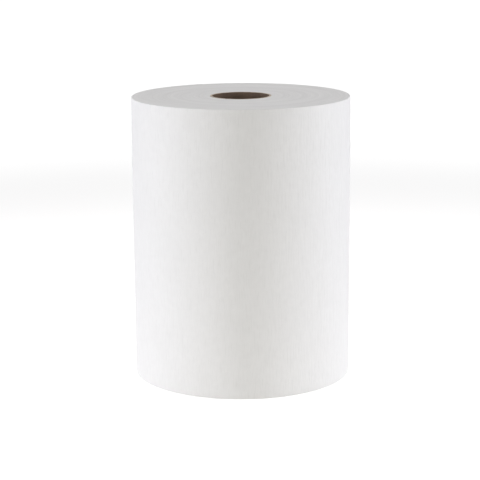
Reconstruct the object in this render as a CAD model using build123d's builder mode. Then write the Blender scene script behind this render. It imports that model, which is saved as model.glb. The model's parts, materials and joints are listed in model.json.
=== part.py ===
from build123d import *
import os

# A hardwound roll of paper towel on a cardboard core, standing on one end.
#
# +Z runs up the roll's axis, and the origin is on that axis, in the plane of the lower end. The front
# faces -Y, and the sheet's free edge lies at the back.
#
# The roll is two pieces. The towel is one long sheet, wound turn on turn, so all its turns are one
# solid: a ring whose outside is the last turn of the spiral, with a step where the sheet ends. The core
# is a tube of board plies, and the sheet's first turn is glued round it. One saw cut makes each end of
# the roll, so the sheet and the core are flush there.

# Driving dimensions, in millimetres and degrees
sheet_width = 203.2  # across the sheet, which is the height of the standing roll
roll_diameter = 158.0  # across the wound roll
sheet_thickness = 0.2  # one creped sheet where it lies loose, at its free edge
core_bore = 41.2  # inside the core, where a dispenser's spindle goes
core_wall = 1.4  # the core's board
rim_radius = 0.6  # both outer rims of the cut paper are rounded over this much
edge_angle = 112.0  # from +X to the sheet's free edge, about the roll's axis

roll_radius = roll_diameter / 2
core_radius = core_bore / 2 + core_wall

# The core is a plain tube, cut square.
with BuildPart() as core_tube:
    with BuildSketch(Plane.XY):
        Circle(core_radius)
        Circle(core_bore / 2, mode=Mode.SUBTRACT)
    extrude(amount=sheet_width)

# The outermost turn is a spiral of two half turns. The first starts at the free edge and is centred on
# the roll's axis. The second is smaller by half a sheet and centred half a sheet off the axis, away
# from the free edge. Opposite the free edge they run smoothly together, and at the free edge the second
# comes in one whole sheet below the first.
half_sheet = sheet_thickness / 2
half_turns = [
    # how far off the axis its centre is, its radius, and how far it turns
    (0.0, roll_radius, 180.0),
    (-half_sheet, roll_radius - half_sheet, -180.0),
]

# Upright, through the roll's axis, with its x direction towards the free edge
edge_plane = Plane.XZ.rotated((0, 0, edge_angle))

with BuildPart() as towel_web:
    for centre_offset, radius, turn in half_turns:
        turning_axis = Axis(edge_plane.from_local_coords((centre_offset, 0, 0)), (0, 0, 1))
        with BuildSketch(edge_plane):
            with Locations((centre_offset, 0)):
                Rectangle(radius, sheet_width, align=Align.MIN)
            fillet(vertices().group_by(Axis.X)[-1], radius=rim_radius)
        revolve(axis=turning_axis, revolution_arc=turn)
    with BuildSketch(Plane.XY):
        Circle(core_radius)
    extrude(amount=sheet_width, mode=Mode.SUBTRACT)

os.makedirs("parts", exist_ok=True)

core_tube.part.label = "core_tube"
export_step(core_tube.part, "parts/core_tube.step")

towel_web.part.label = "towel_web"
export_step(towel_web.part, "parts/towel_web.step")
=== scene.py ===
import json
import math

import bpy
import numpy as np
from mathutils import Matrix, Vector, noise


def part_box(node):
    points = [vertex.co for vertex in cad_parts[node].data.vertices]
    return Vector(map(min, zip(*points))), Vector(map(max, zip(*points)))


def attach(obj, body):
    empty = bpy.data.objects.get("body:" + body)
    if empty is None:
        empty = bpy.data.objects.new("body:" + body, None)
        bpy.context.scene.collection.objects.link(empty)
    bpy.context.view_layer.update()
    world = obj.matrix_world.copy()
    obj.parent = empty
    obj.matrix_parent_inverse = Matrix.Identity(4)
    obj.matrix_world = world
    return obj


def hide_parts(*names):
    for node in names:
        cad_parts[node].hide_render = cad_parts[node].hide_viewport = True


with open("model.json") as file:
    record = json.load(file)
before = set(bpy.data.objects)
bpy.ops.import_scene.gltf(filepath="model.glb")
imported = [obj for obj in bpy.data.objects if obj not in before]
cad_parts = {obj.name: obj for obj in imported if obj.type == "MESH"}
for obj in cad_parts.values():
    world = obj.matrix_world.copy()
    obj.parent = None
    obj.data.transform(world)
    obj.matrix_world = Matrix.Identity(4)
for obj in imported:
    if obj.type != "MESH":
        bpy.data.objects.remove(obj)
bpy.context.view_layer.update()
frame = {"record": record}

# A hardwound roll of paper towel on its cardboard core, standing on end. Lengths are in metres, in the
# frame's own axes: +Z up the roll's axis from its lower end, and the front towards -Y.

MM = 0.001
TURN = 2 * math.pi

# ---------------------------------------------------------------- sizes, from the frame

web_low, web_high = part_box("towel_web")
_, core_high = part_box("core_tube")
core_bore = next(m for m in frame["record"]["mounts"] if m["name"] == "core_bore")

HEIGHT = web_high[2] - web_low[2]
ROLL_RADIUS = max(-web_low[0], -web_low[1])
CORE_RADIUS = core_high[0]
BORE_RADIUS = core_bore["dims"]["r_mm"] * MM

SHEET = 0.2 * MM  # the sheet's thickness at its free edge
EDGE_ANGLE = math.radians(112)  # where the free edge lies, from +X about +Z


# ---------------------------------------------------------------- mesh helpers


def make_piece(name, vertices, faces, materials, material_of_face, uv_of_face, sharp_angle=40):
    """A mesh object, with a material and a bake coordinate for each corner of each face."""
    mesh = bpy.data.meshes.new(name)
    mesh.from_pydata([tuple(v) for v in vertices], [], faces)
    for material in materials:
        mesh.materials.append(material)
    mesh.polygons.foreach_set("material_index", material_of_face)
    layer = mesh.uv_layers.new(name="OFBake")
    layer.data.foreach_set("uv", np.concatenate([np.asarray(c, dtype=float).ravel() for c in uv_of_face]))
    mesh.shade_smooth()
    mesh.set_sharp_from_angle(angle=math.radians(sharp_angle))
    mesh.validate()
    piece = bpy.data.objects.new(name, mesh)
    bpy.context.scene.collection.objects.link(piece)
    return piece


def ripple(angle, z, size, seed):
    """Smooth noise from -1 to 1 on the roll's side, with lumps of about the given size."""
    place = Vector((math.cos(angle), math.sin(angle), z / ROLL_RADIUS)) * (ROLL_RADIUS / size)
    return noise.noise(place + Vector((seed, -seed, 2.3 * seed)))


# ---------------------------------------------------------------- material helpers


def add_node(tree, kind, inputs=None, **settings):
    """A new node with these settings, each input being a value or another node's output."""
    made = tree.nodes.new(kind)
    for key, value in settings.items():
        setattr(made, key, value)
    for key, value in (inputs or {}).items():
        if isinstance(value, bpy.types.NodeSocket):
            tree.links.new(value, made.inputs[key])
        else:
            made.inputs[key].default_value = value
    return made


def maths(tree, operation, *values):
    return add_node(tree, "ShaderNodeMath", dict(enumerate(values)), operation=operation).outputs[0]


def remap(tree, value, low, high, to_low=0.0, to_high=1.0):
    """value taken from low..high to to_low..to_high, smoothly and held at both ends."""
    inputs = {0: value, 1: low, 2: high, 3: to_low, 4: to_high}
    return add_node(tree, "ShaderNodeMapRange", inputs, interpolation_type="SMOOTHSTEP").outputs[0]


def blend_colours(tree, factor, first, second):
    mix = add_node(tree, "ShaderNodeMix", {0: factor, 6: first, 7: second}, data_type="RGBA")
    return mix.outputs[2]


def grain(tree, place, size, stretch=(1, 1, 1), detail=2.0, roughness=0.5):
    """Noise from 0 to 1 with grains of about the given size in metres, longer where stretch is over 1."""
    scale = [1 / (size * s) for s in stretch]
    scaled = add_node(tree, "ShaderNodeVectorMath", {0: place, 1: scale}, operation="MULTIPLY").outputs[0]
    inputs = {"Vector": scaled, "Scale": 1.0, "Detail": detail, "Roughness": roughness}
    return add_node(tree, "ShaderNodeTexNoise", inputs).outputs[0]


def bump(tree, height, distance, below=None):
    """A bump of the given height in metres, on top of another bump's normal if there is one."""
    inputs = {"Height": height, "Distance": distance, "Strength": 1.0}
    if below is not None:
        inputs["Normal"] = below
    return add_node(tree, "ShaderNodeBump", inputs).outputs[0]


def start_material(name):
    """An empty material, its tree, and the place on the object in metres."""
    material = bpy.data.materials.new(name)
    material.use_nodes = True
    tree = material.node_tree
    tree.nodes.clear()
    place = add_node(tree, "ShaderNodeTexCoord").outputs["Object"]
    return material, tree, place


def finish_material(tree, colour, roughness, normal, specular):
    surface = add_node(
        tree,
        "ShaderNodeBsdfPrincipled",
        {"Base Color": colour, "Roughness": roughness, "Normal": normal, "Specular IOR Level": specular},
    )
    output = add_node(tree, "ShaderNodeOutputMaterial")
    tree.links.new(surface.outputs[0], output.inputs["Surface"])


# ---------------------------------------------------------------- materials


def sheet_material():
    """The sheet's face: bleached tissue with crepe ridges across the sheet, so up the roll."""
    material, tree, place = start_material("towel_sheet")

    # Crepe: fine ridges, a few millimetres tall and well under one wide, and a coarser set over them.
    ridges = grain(tree, place, 0.55 * MM, stretch=(1, 1, 14), detail=1.5)
    folds = grain(tree, place, 1.7 * MM, stretch=(1, 1, 9), detail=2.0)
    # Formation: how unevenly the fibre lies in the sheet.
    clouds = grain(tree, place, 4.5 * MM, detail=3.0, roughness=0.6)
    drift = grain(tree, place, 28 * MM, stretch=(1, 1, 1.6), detail=2.0)
    fibres = grain(tree, place, 0.35 * MM, stretch=(2.5, 2.5, 1), detail=2.0, roughness=0.7)

    thick = (0.868, 0.867, 0.862, 1)
    thin = (0.845, 0.844, 0.839, 1)
    shade = maths(tree, "ADD", maths(tree, "MULTIPLY", clouds, 0.45), maths(tree, "MULTIPLY", drift, 0.25))
    shade = maths(tree, "ADD", shade, maths(tree, "MULTIPLY", folds, 0.30))
    colour = blend_colours(tree, remap(tree, shade, 0.36, 0.64), thin, thick)
    # Painted shade: the crepe's valleys are a little darker than its ridges.
    colour = blend_colours(tree, remap(tree, ridges, 0.25, 0.5, 0.35, 0.0), colour, (0.76, 0.758, 0.75, 1))

    roughness = remap(tree, fibres, 0.3, 0.7, 0.52, 0.66)
    normal = bump(tree, clouds, 0.10 * MM)
    normal = bump(tree, folds, 0.11 * MM, normal)
    normal = bump(tree, ridges, 0.05 * MM, normal)
    normal = bump(tree, fibres, 0.02 * MM, normal)
    finish_material(tree, colour, roughness, normal, 0.5)
    return material


def cut_end_material():
    """The sawn end of the winding: the edges of hundreds of turns, seen as fine rings."""
    material, tree, place = start_material("towel_cut_end")

    flat = add_node(tree, "ShaderNodeVectorMath", {0: place, 1: (1, 1, 0)}, operation="MULTIPLY").outputs[0]
    radius = add_node(tree, "ShaderNodeVectorMath", {0: flat}, operation="LENGTH").outputs["Value"]

    def rings(pitch, drift, detail):
        """Rings of about that pitch, which fade in and out over the distance drift as they go round."""
        across = maths(tree, "DIVIDE", radius, pitch)
        along = add_node(tree, "ShaderNodeVectorMath", {0: flat, 1: (1 / drift,) * 3}, operation="MULTIPLY")
        parts = add_node(tree, "ShaderNodeSeparateXYZ", {0: along.outputs[0]}).outputs
        joined = add_node(tree, "ShaderNodeCombineXYZ", {0: across, 1: parts[0], 2: parts[1]}).outputs[0]
        inputs = {"Vector": joined, "Scale": 1.0, "Detail": detail, "Roughness": 0.55}
        return add_node(tree, "ShaderNodeTexNoise", inputs).outputs[0]

    turns = rings(0.42 * MM, 45 * MM, 1.0)
    groups = rings(1.6 * MM, 70 * MM, 1.5)
    bands = rings(7.0 * MM, 120 * MM, 2.0)
    fuzz = grain(tree, place, 0.5 * MM, detail=3.0, roughness=0.7)
    # The saw leaves faint streaks straight across the end.
    turned = add_node(
        tree, "ShaderNodeVectorRotate", {"Vector": flat, "Angle": math.radians(24)}, rotation_type="Z_AXIS"
    ).outputs[0]
    streaks = grain(tree, turned, 1.1 * MM, stretch=(55, 1, 1), detail=2.0)

    shade = maths(tree, "MULTIPLY", turns, 0.36)
    shade = maths(tree, "ADD", shade, maths(tree, "MULTIPLY", groups, 0.30))
    shade = maths(tree, "ADD", shade, maths(tree, "MULTIPLY", bands, 0.24))
    shade = maths(tree, "ADD", shade, maths(tree, "MULTIPLY", streaks, 0.10))
    colour = blend_colours(
        tree, remap(tree, shade, 0.34, 0.66), (0.790, 0.788, 0.782, 1), (0.870, 0.869, 0.864, 1)
    )

    roughness = remap(tree, fuzz, 0.3, 0.7, 0.88, 0.98)
    normal = bump(tree, groups, 0.09 * MM)
    normal = bump(tree, turns, 0.05 * MM, normal)
    normal = bump(tree, streaks, 0.03 * MM, normal)
    normal = bump(tree, fuzz, 0.03 * MM, normal)
    finish_material(tree, colour, roughness, normal, 0.15)
    return material


def board_material(seam_pitch):
    """The core's inner ply: brown chipboard, with the butt seam of its strip running up as a helix."""
    material, tree, place = start_material("core_ply")
    x, y, z = add_node(tree, "ShaderNodeSeparateXYZ", {0: place}).outputs

    around = maths(tree, "ARCTAN2", y, x)
    past_seam = maths(tree, "SUBTRACT", around, maths(tree, "MULTIPLY", z, TURN / seam_pitch))
    half = maths(tree, "SINE", maths(tree, "MULTIPLY", past_seam, 0.5))
    from_seam = maths(tree, "MULTIPLY", maths(tree, "ABSOLUTE", half), 2 * BORE_RADIUS)

    fibres = grain(tree, place, 0.5 * MM, stretch=(1, 1, 1), detail=4.0, roughness=0.7)
    flecks = grain(tree, place, 0.8 * MM, stretch=(3, 3, 1), detail=2.0)
    clouds = grain(tree, place, 9 * MM, detail=3.0)

    colour = blend_colours(
        tree, remap(tree, clouds, 0.35, 0.65), (0.105, 0.070, 0.050, 1), (0.140, 0.096, 0.068, 1)
    )
    colour = blend_colours(tree, remap(tree, fibres, 0.42, 0.75, 0.0, 0.5), colour, (0.20, 0.145, 0.105, 1))
    colour = blend_colours(tree, remap(tree, flecks, 0.66, 0.74, 0.0, 0.6), colour, (0.075, 0.050, 0.036, 1))
    seam = remap(tree, from_seam, 0.15 * MM, 0.45 * MM, 0.8, 0.0)
    colour = blend_colours(tree, seam, colour, (0.050, 0.034, 0.025, 1))

    roughness = remap(tree, clouds, 0.3, 0.7, 0.72, 0.88)
    normal = bump(tree, fibres, 0.06 * MM)
    normal = bump(tree, flecks, 0.04 * MM, normal)
    finish_material(tree, colour, roughness, normal, 0.3)
    return material


def board_edge_material():
    """The core's sawn edge: paler than its face, with a darker glue line between one ply and the next."""
    material, tree, place = start_material("core_edge")
    flat = add_node(tree, "ShaderNodeVectorMath", {0: place, 1: (1, 1, 0)}, operation="MULTIPLY").outputs[0]
    radius = add_node(tree, "ShaderNodeVectorMath", {0: flat}, operation="LENGTH").outputs["Value"]

    depth = maths(tree, "DIVIDE", maths(tree, "SUBTRACT", radius, BORE_RADIUS), PLY)
    off_line = maths(tree, "PINGPONG", depth, 0.5)
    fuzz = grain(tree, place, 0.4 * MM, detail=3.0, roughness=0.7)
    clouds = grain(tree, place, 5 * MM, detail=2.0)

    colour = blend_colours(
        tree, remap(tree, clouds, 0.35, 0.65), (0.56, 0.475, 0.385, 1), (0.66, 0.565, 0.465, 1)
    )
    colour = blend_colours(tree, remap(tree, fuzz, 0.45, 0.75, 0.0, 0.6), colour, (0.76, 0.68, 0.58, 1))
    colour = blend_colours(tree, remap(tree, off_line, 0.0, 0.16, 0.5, 0.0), colour, (0.36, 0.28, 0.21, 1))

    roughness = remap(tree, fuzz, 0.3, 0.7, 0.85, 0.97)
    normal = bump(tree, fuzz, 0.08 * MM)
    finish_material(tree, colour, roughness, normal, 0.2)
    return material


# ---------------------------------------------------------------- the towel

RIM = 0.6 * MM  # the rims' rounding
RIM_STEPS = 5
SECTORS = 288
RINGS = 112
SIDE_ROWS = 44
FLAP_STEPS = 14
FLAP_ANGLE = math.radians(9.5)  # how far back from its edge the last of the sheet lies loose
FLAP_LIFT = 0.9 * MM


def turn_radius(past_edge):
    """Distance from the axis to the outermost turn, that far round from the free edge."""
    return ROLL_RADIUS - SHEET * past_edge / TURN


def dent(angle, z):
    """How far the winding's side lies under its full radius: slow waves, and the hoops of the winding."""
    waves = 0.5 + 0.5 * ripple(angle, z, 38 * MM, 3.1)
    lumps = 0.5 + 0.5 * ripple(angle, z, 15 * MM, 7.7)
    hoops = 0.5 + 0.5 * noise.noise(Vector((z / (9 * MM), 4.2, 0.6 * math.cos(angle))))
    return (0.13 * waves + 0.05 * lumps + 0.05 * hoops) * MM


def shell_section():
    """The sheet's outline in section, from the lower rim up to the upper: inset from the full radius,
    height, and distance along the outline."""
    quarter = [math.pi / 2 * n / RIM_STEPS for n in range(RIM_STEPS + 1)]
    lower = [(RIM - RIM * math.sin(t), RIM - RIM * math.cos(t)) for t in quarter]
    straight = HEIGHT - 2 * RIM
    side = [(0.0, RIM + straight * n / SIDE_ROWS) for n in range(1, SIDE_ROWS)]
    upper = [(inset, HEIGHT - z) for inset, z in reversed(lower)]
    points = lower + side + upper
    along = [0.0]
    for (inset_a, z_a), (inset_b, z_b) in zip(points, points[1:]):
        along.append(along[-1] + math.hypot(inset_b - inset_a, z_b - z_a))
    return [(inset, z, s) for (inset, z), s in zip(points, along)]


def ring_relief(seed):
    """How far each ring of turns lies below the end's plane: fine steps, and a few broad bands."""
    draw = np.random.default_rng(seed)
    fine = draw.random(RINGS) ** 2 * 0.055
    bands = np.zeros(RINGS)
    for _ in range(9):
        start = int(draw.integers(4, RINGS - 14))
        bands[start : start + int(draw.integers(2, 8))] += draw.uniform(0.02, 0.09)
    relief = (fine + bands) * MM
    relief[0] += 0.25 * MM  # the first turns are pulled in where they are glued to the core
    relief[1] += 0.08 * MM
    relief[-3:] = 0
    return relief


def polar(radius, angle, z):
    world = EDGE_ANGLE + angle
    return (radius * math.cos(world), radius * math.sin(world), z)


def build_towel():
    section = shell_section()
    count = len(section)
    columns = [FLAP_ANGLE + TURN * k / SECTORS for k in range(SECTORS + 1)]
    vertices, faces, kinds, uvs = [], [], [], []

    # The ends inside the outermost turns. Each is a grid of rings, closed on itself.
    def end_grid(z, up, seed):
        relief = ring_relief(seed)
        grid = []
        for angle in columns[:-1]:
            outer = turn_radius(angle) - RIM - dent(EDGE_ANGLE + angle, z)
            row = []
            for ring in range(RINGS):
                radius = CORE_RADIUS + (outer - CORE_RADIUS) * ring / RINGS
                spot = Vector((radius * math.cos(angle), radius * math.sin(angle), seed)) / (26 * MM)
                swell = 0.65 + 0.7 * noise.noise(spot)
                row.append(len(vertices))
                vertices.append(polar(radius, angle, z - up * relief[ring] * swell))
            grid.append(row)
        return grid

    lower_end = end_grid(0.0, -1, 11)
    upper_end = end_grid(HEIGHT, 1, 23)

    # The shell: the outermost turn, from the flap's root all the way round to under the flap.
    shell = []
    for angle in columns:
        row = []
        for inset, z, _ in section:
            radius = turn_radius(angle) - inset - dent(EDGE_ANGLE + angle, z)
            row.append(len(vertices))
            vertices.append(polar(radius, angle, z))
        shell.append(row)

    # The flap: the last of the sheet, which goes back over the shell's end and stands off a little.
    outside, inside = [shell[0]], [shell[-1]]
    for step in range(1, FLAP_STEPS + 1):
        share = step / FLAP_STEPS
        flat = min(1.0, share / 0.2)
        flat = flat * flat * (3 - 2 * flat)
        row_out, row_in = [], []
        for inset, z, _ in section:
            ragged = 0.28 * noise.noise(Vector((z / (11 * MM), 9.0, 0.0)))
            ragged += 0.10 * noise.noise(Vector((z / (2.6 * MM), 5.0, 0.0)))
            angle = FLAP_ANGLE * (1 - share) + ragged * MM / ROLL_RADIUS * share
            wave = 0.62 + 0.55 * noise.noise(Vector((z / (34 * MM), 1.7, 0.0)))
            lift = FLAP_LIFT * wave * share**1.7
            radius = turn_radius(angle) - inset * (1 - flat) - dent(EDGE_ANGLE + angle, z) + lift
            row_out.append(len(vertices))
            vertices.append(polar(radius, angle, z))
            row_in.append(len(vertices))
            vertices.append(polar(radius - SHEET, angle, z))
        outside.append(row_out)
        inside.append(row_in)

    # The bake's layout, in metres on a square sheet: the side's strip along the bottom, the two ends over
    # it, and the small surfaces in rows at the top.
    sheet_side = 0.520
    margin = 0.005
    disc_scale = 1.58
    disc_centre = 0.347
    small_row = 0.484
    tip_row = (0.502, 0.504)
    flap_end_rows = (0.507, 0.512)
    row_height = 0.002
    flap_end_width = 0.02

    def on_strip(angle, along):
        return ((margin + angle * ROLL_RADIUS) / sheet_side, (margin + along) / sheet_side)

    def on_disc(index, centre_x):
        x, y, _ = vertices[index]
        return (centre_x + x * disc_scale) / sheet_side, (disc_centre + y * disc_scale) / sheet_side

    def add(corners, kind, places):
        faces.append(corners)
        kinds.append(kind)
        uvs.append(places)

    SHEET_FACE, CUT_END = 0, 1
    lower_x, upper_x = 0.25 * sheet_side, 0.75 * sheet_side
    for k in range(SECTORS):
        n = (k + 1) % SECTORS
        for ring in range(RINGS):
            if ring < RINGS - 1:
                low = [lower_end[k][ring], lower_end[n][ring]]
                low += [lower_end[n][ring + 1], lower_end[k][ring + 1]]
                high = [upper_end[k][ring], upper_end[k][ring + 1]]
                high += [upper_end[n][ring + 1], upper_end[n][ring]]
            else:
                low = [lower_end[k][ring], lower_end[n][ring], shell[k + 1][0], shell[k][0]]
                high = [upper_end[k][ring], shell[k][-1], shell[k + 1][-1], upper_end[n][ring]]
            add(low, CUT_END, [on_disc(i, lower_x) for i in low])
            add(high, CUT_END, [on_disc(i, upper_x) for i in high])
    for grid, q, centre_x in ((lower_end, 0, lower_x), (upper_end, count - 1, upper_x)):
        corner = [grid[0][RINGS - 1], shell[0][q], shell[-1][q]]
        if q:
            corner.reverse()
        add(corner, CUT_END, [on_disc(i, centre_x) for i in corner])

    # The bore, which is glued to the core and never seen, has a small patch of the layout.
    bore_left, bore_width, bore_top = 0.300, 0.06, 0.510
    for k in range(SECTORS):
        n = (k + 1) % SECTORS
        corners = [lower_end[k][0], upper_end[k][0], upper_end[n][0], lower_end[n][0]]
        left = (bore_left + bore_width * k / SECTORS) / sheet_side
        right = (bore_left + bore_width * (k + 1) / SECTORS) / sheet_side
        bottom, top = small_row / sheet_side, bore_top / sheet_side
        add(corners, SHEET_FACE, [(left, bottom), (left, top), (right, top), (right, bottom)])

    def add_surface(rows, angles, outward, place):
        for a in range(len(rows) - 1):
            for q in range(count - 1):
                corners = [rows[a][q], rows[a + 1][q], rows[a + 1][q + 1], rows[a][q + 1]]
                spots = [place(angles[a], q), place(angles[a + 1], q)]
                spots += [place(angles[a + 1], q + 1), place(angles[a], q + 1)]
                if not outward:
                    corners.reverse()
                    spots.reverse()
                add(corners, SHEET_FACE, spots)

    flap_angles = [FLAP_ANGLE * (1 - step / FLAP_STEPS) for step in range(FLAP_STEPS + 1)]

    def on_outside(angle, q):
        return on_strip(angle, section[q][2])

    def on_underside(angle, q):
        return ((margin + section[q][2]) / sheet_side, (small_row + angle * ROLL_RADIUS) / sheet_side)

    add_surface(shell, columns, True, on_outside)
    add_surface(outside, flap_angles, False, on_outside)
    add_surface(inside, flap_angles, True, on_underside)

    # The sheet's own cut edges: along its free edge, and along the flap at both ends of the roll.
    for q in range(count - 1):
        corners = [outside[-1][q], inside[-1][q], inside[-1][q + 1], outside[-1][q + 1]]
        left = (margin + section[q][2]) / sheet_side
        right = (margin + section[q + 1][2]) / sheet_side
        low, high = tip_row[0] / sheet_side, tip_row[1] / sheet_side
        add(corners, CUT_END, [(left, low), (left, high), (right, high), (right, low)])
    for q, first in zip((0, count - 1), flap_end_rows):
        for step in range(FLAP_STEPS):
            corners = [outside[step][q], inside[step][q], inside[step + 1][q], outside[step + 1][q]]
            left = (margin + flap_end_width * step / FLAP_STEPS) / sheet_side
            right = (margin + flap_end_width * (step + 1) / FLAP_STEPS) / sheet_side
            low, high = first / sheet_side, (first + row_height) / sheet_side
            spots = [(left, low), (left, high), (right, high), (right, low)]
            if q == 0:
                corners.reverse()
                spots.reverse()
            add(corners, CUT_END, spots)

    return make_piece(
        "wound_towel", vertices, faces, [sheet_material(), cut_end_material()], kinds, uvs, sharp_angle=35
    )


# ---------------------------------------------------------------- the core

PLIES = 4
PLY = (CORE_RADIUS - BORE_RADIUS) / PLIES
STRIP_WIDTH = 76.2 * MM  # the ply's strip, which is wound as a helix so that its edges meet
BORE_GIRTH = TURN * BORE_RADIUS
SEAM_PITCH = STRIP_WIDTH * BORE_GIRTH / math.sqrt(BORE_GIRTH**2 - STRIP_WIDTH**2)


def build_core():
    # Columns follow the seam up the bore, close together beside it.
    seam_half = 0.22 * MM / BORE_RADIUS
    beside = [-4.0, -2.2, -1.4, -1.0, 0.0, 1.0, 1.4, 2.2, 4.0]
    close = [b * seam_half for b in beside]
    wide = 168
    span = TURN - (close[-1] - close[0])
    columns = close + [close[-1] + span * n / wide for n in range(1, wide)]
    groove = {-1.0: 0.3, 0.0: 1.0, 1.0: 0.3}
    depth = [groove.get(b, 0.0) * 0.24 * MM for b in beside] + [0.0] * (wide - 1)

    edge = 0.12 * MM  # the cut edges' rounding
    rows = 52
    levels = [edge + (HEIGHT - 2 * edge) * n / rows for n in range(rows + 1)]
    plies = 4 * PLIES
    board = CORE_RADIUS - 2 * edge - BORE_RADIUS
    stations = [BORE_RADIUS + edge + board * n / plies for n in range(plies + 1)]

    # The section, as a closed loop: up the bore, out over the upper edge, down the outside, and in again.
    # A known fault: the outside has only two rows, so it is straight from end to end where the
    # columns twist, and it is waisted to inside the bore half way up.
    loop = [("bore", BORE_RADIUS, z) for z in levels]
    loop += [("edge", r, HEIGHT) for r in stations]
    loop += [("back", CORE_RADIUS, HEIGHT - edge), ("back", CORE_RADIUS, edge)]
    loop += [("edge", r, 0.0) for r in reversed(stations)]
    count = len(loop)

    vertices = []
    for column, angle in enumerate(columns):
        for part, radius, z in loop:
            world = angle + TURN * z / SEAM_PITCH
            if part == "bore":
                radius += depth[column]
                radius += 0.05 * MM * (0.5 + 0.5 * ripple(world, z, 12 * MM, 5.5))
            if part == "edge":
                line = abs((radius - BORE_RADIUS) / PLY % 1.0 - 0.5) * 2
                rough = 0.5 + 0.5 * noise.noise(Vector((radius / (0.3 * MM), 9 * world, z)))
                low = 0.05 * line**6 + 0.05 * rough
                z += (-low if z > HEIGHT / 2 else low) * MM
            vertices.append((radius * math.cos(world), radius * math.sin(world), z))

    along = [0.0]
    for (_, r_a, z_a), (_, r_b, z_b) in zip(loop, loop[1:] + loop[:1]):
        along.append(along[-1] + math.hypot(r_b - r_a, z_b - z_a))
    bore_length = along[len(levels) - 1]
    sheet_side = 0.240
    PLY_FACE, EDGE_FACE = 0, 1
    faces, kinds, uvs = [], [], []
    for column, angle in enumerate(columns):
        after = (column + 1) % len(columns)
        next_angle = columns[after] if after else columns[0] + TURN
        for q in range(count):
            w = (q + 1) % count
            faces.append([column * count + q, column * count + w, after * count + w, after * count + q])
            in_bore = loop[q][0] == "bore" and loop[w][0] == "bore"
            in_back = loop[q][0] == "back" and loop[w][0] == "back"
            kinds.append(PLY_FACE if in_bore or in_back else EDGE_FACE)
            u_a = (angle - columns[0]) * BORE_RADIUS
            u_b = (next_angle - columns[0]) * BORE_RADIUS
            if in_bore:
                v_a, v_b = 0.004 + along[q], 0.004 + along[q + 1]
                uv = [(0.004 + u_a, v_a), (0.004 + u_a, v_b), (0.004 + u_b, v_b), (0.004 + u_b, v_a)]
            elif in_back:
                uv = [(0.150, 0.004 + u_a), (0.158, 0.004 + u_a), (0.158, 0.004 + u_b), (0.150, 0.004 + u_b)]
            else:
                upper = loop[q][2] > HEIGHT / 2 or loop[w][2] > HEIGHT / 2
                offset = 0.170 if upper else 0.205
                scale = 10.0
                both_edges = along[count] - bore_length - (HEIGHT - 2 * edge)
                first = bore_length if upper else along[count] - both_edges / 2
                v_a, v_b = offset + (along[q] - first) * scale, offset + (along[q + 1] - first) * scale
                uv = [(v_a, 0.004 + u_a), (v_b, 0.004 + u_a), (v_b, 0.004 + u_b), (v_a, 0.004 + u_b)]
            uvs.append([(a / sheet_side, b / sheet_side) for a, b in uv])
    return make_piece(
        "cardboard_core", vertices, faces, [board_material(SEAM_PITCH), board_edge_material()], kinds, uvs, 50
    )


towel = build_towel()
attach(towel, "root")
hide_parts("towel_web")

core = build_core()
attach(core, "root")
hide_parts("core_tube")


# ---------------------------------------------------------------- the floor, the light and the camera


def build_floor():
    """A wide floor with a painted pool of light, pale by the roll and dark grey farther off, and lifted for
    the camera alone, so that it reads as white.
    """
    reach = 14.0
    corners = [(-reach, -reach, 0), (reach, -reach, 0), (reach, reach, 0), (-reach, reach, 0)]
    mesh = bpy.data.meshes.new("floor")
    mesh.from_pydata([Vector(c) - Vector((0, 0, 0.1 * MM)) for c in corners], [], [(0, 1, 2, 3)])
    floor = bpy.data.objects.new("floor", mesh)
    bpy.context.scene.collection.objects.link(floor)

    material, tree, place = start_material("floor")
    away = add_node(tree, "ShaderNodeVectorMath", {0: place}, operation="LENGTH").outputs["Value"]
    # Painted pool of light: the floor is pale near the roll and dark grey farther off, which sets the light
    # it throws back onto the roll.
    pool_fade = remap(tree, away, 0.15, 0.9)
    painted_light_pool = blend_colours(tree, pool_fade, (0.90, 0.89, 0.875, 1), (0.24, 0.24, 0.24, 1))
    matt = add_node(tree, "ShaderNodeBsdfDiffuse", {"Color": painted_light_pool}).outputs[0]
    seen = add_node(tree, "ShaderNodeLightPath").outputs["Is Camera Ray"]
    lift = maths(tree, "MULTIPLY", seen, remap(tree, away, 0.35, 1.4, 0.62, 0.95))
    glow = add_node(tree, "ShaderNodeEmission", {"Strength": lift}).outputs[0]
    both = add_node(tree, "ShaderNodeAddShader", {0: matt, 1: glow}).outputs[0]
    output = add_node(tree, "ShaderNodeOutputMaterial")
    tree.links.new(both, output.inputs["Surface"])
    mesh.materials.append(material)


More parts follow.
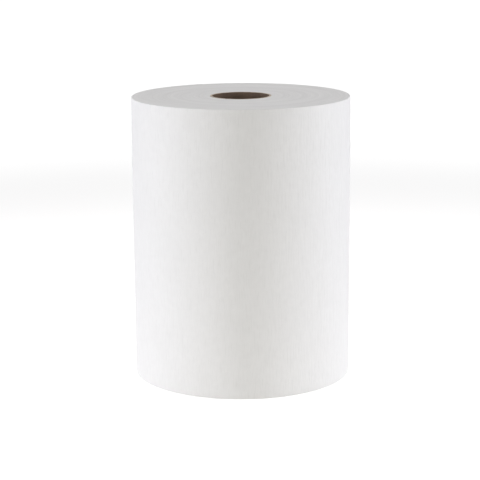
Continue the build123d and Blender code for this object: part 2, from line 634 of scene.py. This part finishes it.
def build_world():
    """Soft light from in front, behind and overhead, and plain white where the camera sees past the floor."""
    world = bpy.data.worlds.new("studio")
    bpy.context.scene.world = world
    world.use_nodes = True
    tree = world.node_tree
    tree.nodes.clear()
    way = add_node(tree, "ShaderNodeTexCoord").outputs["Generated"]
    _, y, z = add_node(tree, "ShaderNodeSeparateXYZ", {0: way}).outputs
    # A broad light low in front, a fainter one behind, and a dim one overhead.
    overhead = remap(tree, z, 0.6, 0.85)
    beside = maths(tree, "SUBTRACT", 1.0, overhead)
    front = maths(tree, "MULTIPLY", remap(tree, y, -0.25, -0.75), remap(tree, z, 0.25, 0.55, 1.0, 0.0))
    behind = maths(tree, "MULTIPLY", remap(tree, y, 0.25, 0.75), beside)
    level = maths(tree, "MULTIPLY", front, 1.92)
    level = maths(tree, "ADD", level, maths(tree, "MULTIPLY", behind, 1.37))
    level = maths(tree, "ADD", level, maths(tree, "MULTIPLY", overhead, 0.51))
    tint = blend_colours(tree, front, (1.0, 0.985, 0.98, 1), (1.0, 0.984, 0.93, 1))
    room = add_node(tree, "ShaderNodeBackground", {"Color": tint, "Strength": level}).outputs[0]
    white = add_node(tree, "ShaderNodeBackground", {"Color": (1, 1, 1, 1), "Strength": 1.0}).outputs[0]
    seen = add_node(tree, "ShaderNodeLightPath").outputs["Is Camera Ray"]
    both = add_node(tree, "ShaderNodeMixShader", {0: seen, 1: room, 2: white}).outputs[0]
    output = add_node(tree, "ShaderNodeOutputWorld")
    tree.links.new(both, output.inputs["Surface"])


def add_softbox(name, azimuth, power):
    """A tall soft lamp that faces the roll. Azimuth 0 is the front, and 90 the right."""
    distance, height = 1.7, 0.30
    lamp = bpy.data.lights.new(name, "AREA")
    lamp.shape = "RECTANGLE"
    lamp.size, lamp.size_y = 0.60, 1.10
    lamp.energy = power
    lamp.color = (0.97, 0.98, 1.05)
    turn = math.radians(azimuth)
    place = Vector((math.sin(turn) * distance, -math.cos(turn) * distance, height))
    target = Vector((0, 0, HEIGHT / 2))
    holder = bpy.data.objects.new(name, lamp)
    facing = (target - place).to_track_quat("-Z", "Y").to_matrix().to_4x4()
    holder.matrix_world = Matrix.Translation(place) @ facing
    bpy.context.scene.collection.objects.link(holder)


def build_camera():
    """A long lens, level with a point above the roll and looking down a little on its end."""
    distance, height = 5.7592 * HEIGHT, 1.7040 * HEIGHT
    down, aside, roll = math.radians(12.026), math.radians(-0.062), math.radians(-0.38)
    lens = bpy.data.cameras.new("camera")
    lens.sensor_width = 36.0
    lens.lens = 122.57
    camera = bpy.data.objects.new("camera", lens)
    turn = Matrix.Rotation(-aside, 4, "Z") @ Matrix.Rotation(math.pi / 2 - down, 4, "X")
    camera.matrix_world = Matrix.Translation((0, -distance, height)) @ turn @ Matrix.Rotation(roll, 4, "Z")
    bpy.context.scene.collection.objects.link(camera)
    bpy.context.scene.camera = camera


build_floor()
build_world()
add_softbox("left_softbox", -85, 20.3)
add_softbox("right_softbox", 92, 20.2)
build_camera()
bpy.context.scene.view_settings.view_transform = "Standard"
